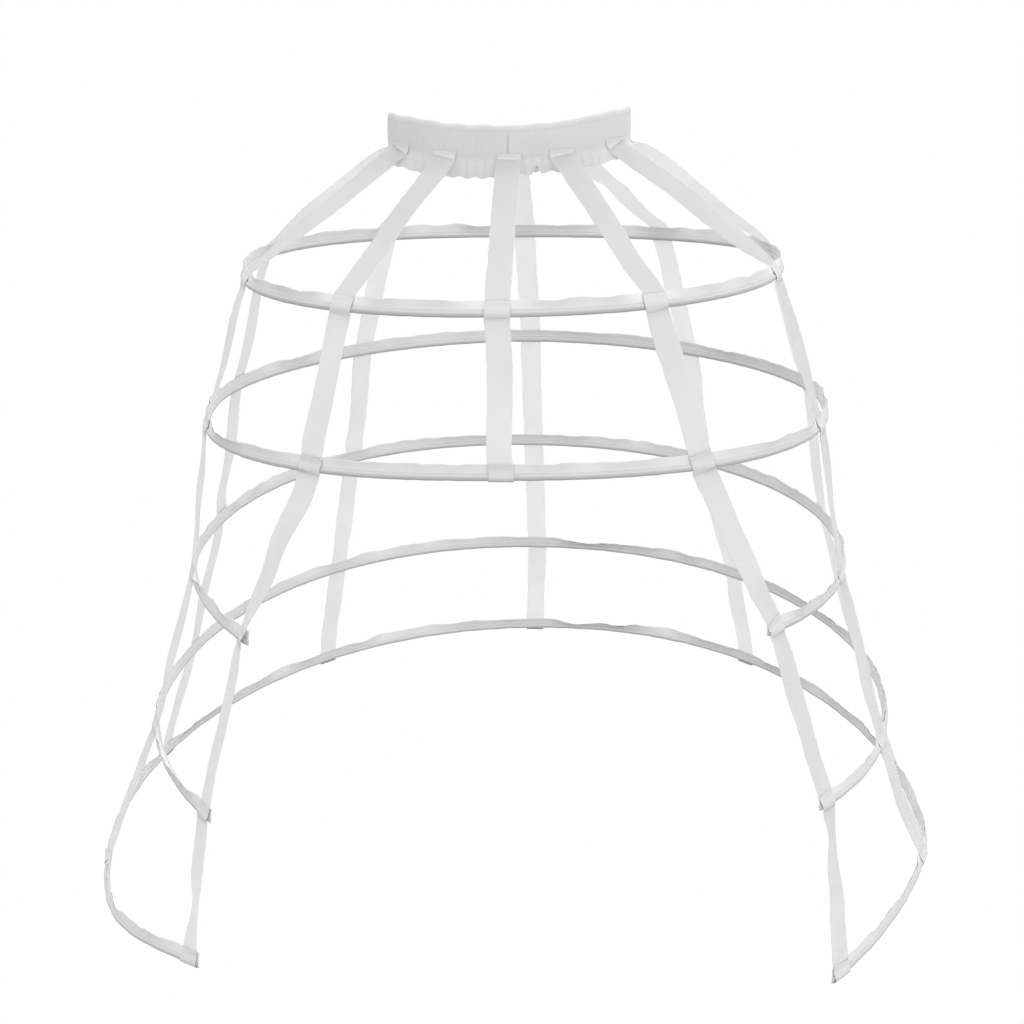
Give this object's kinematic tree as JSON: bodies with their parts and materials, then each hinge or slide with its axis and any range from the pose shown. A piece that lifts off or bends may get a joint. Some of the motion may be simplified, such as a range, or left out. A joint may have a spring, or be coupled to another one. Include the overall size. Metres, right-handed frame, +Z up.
{
  "type": "crinoline cage",
  "caption": "Open-fronted crinoline cage: a gathered elastic waistband with tapes running down over sprung, cloth-cased oval hoops that widen and sweep back towards the hem.",
  "frame": {"origin": "middle of the waistband, halfway up it, where the wearer's waist is", "axes": "+Z up, -Y the open front, +X to the right as seen from the front; left and right in node names are as seen from the front"},
  "size_m": [0.9838, 0.9399, 0.9159],
  "materials": {
    "casing_cloth": "matt woven cotton, white",
    "tape": "matt herringbone twill tape, white",
    "elastic": "ribbed woven elastic, white",
    "hoop_steel": "drawn spring steel",
    "joiner_metal": "plated crimp sleeve",
    "tip_plastic": "dipped white plastic"
  },
  "bodies": {
    "root": {"waistband": "casing_cloth", "waist_elastic": "elastic", "hoop_1_casing": "casing_cloth", "hoop_2_casing": "casing_cloth", "hoop_3_casing": "casing_cloth", "hoop_4_casing": "casing_cloth", "hoop_5_casing": "casing_cloth", "hoop_1_bone": "hoop_steel", "hoop_2_bone": "hoop_steel", "hoop_3_bone": "hoop_steel", "hoop_4_bone": "hoop_steel", "hoop_5_bone": "hoop_steel", "hoop_1_joiner": "joiner_metal", "hoop_2_joiner": "joiner_metal", "bone_tips": "tip_plastic", "front_centre_tape": "tape", "back_centre_tape": "tape", "front_tape_left": "tape", "front_tape_right": "tape", "side_front_tape_left": "tape", "side_front_tape_right": "tape", "side_back_tape_left": "tape", "side_back_tape_right": "tape", "back_tape_left": "tape", "back_tape_right": "tape"}
  },
  "joints": []
}
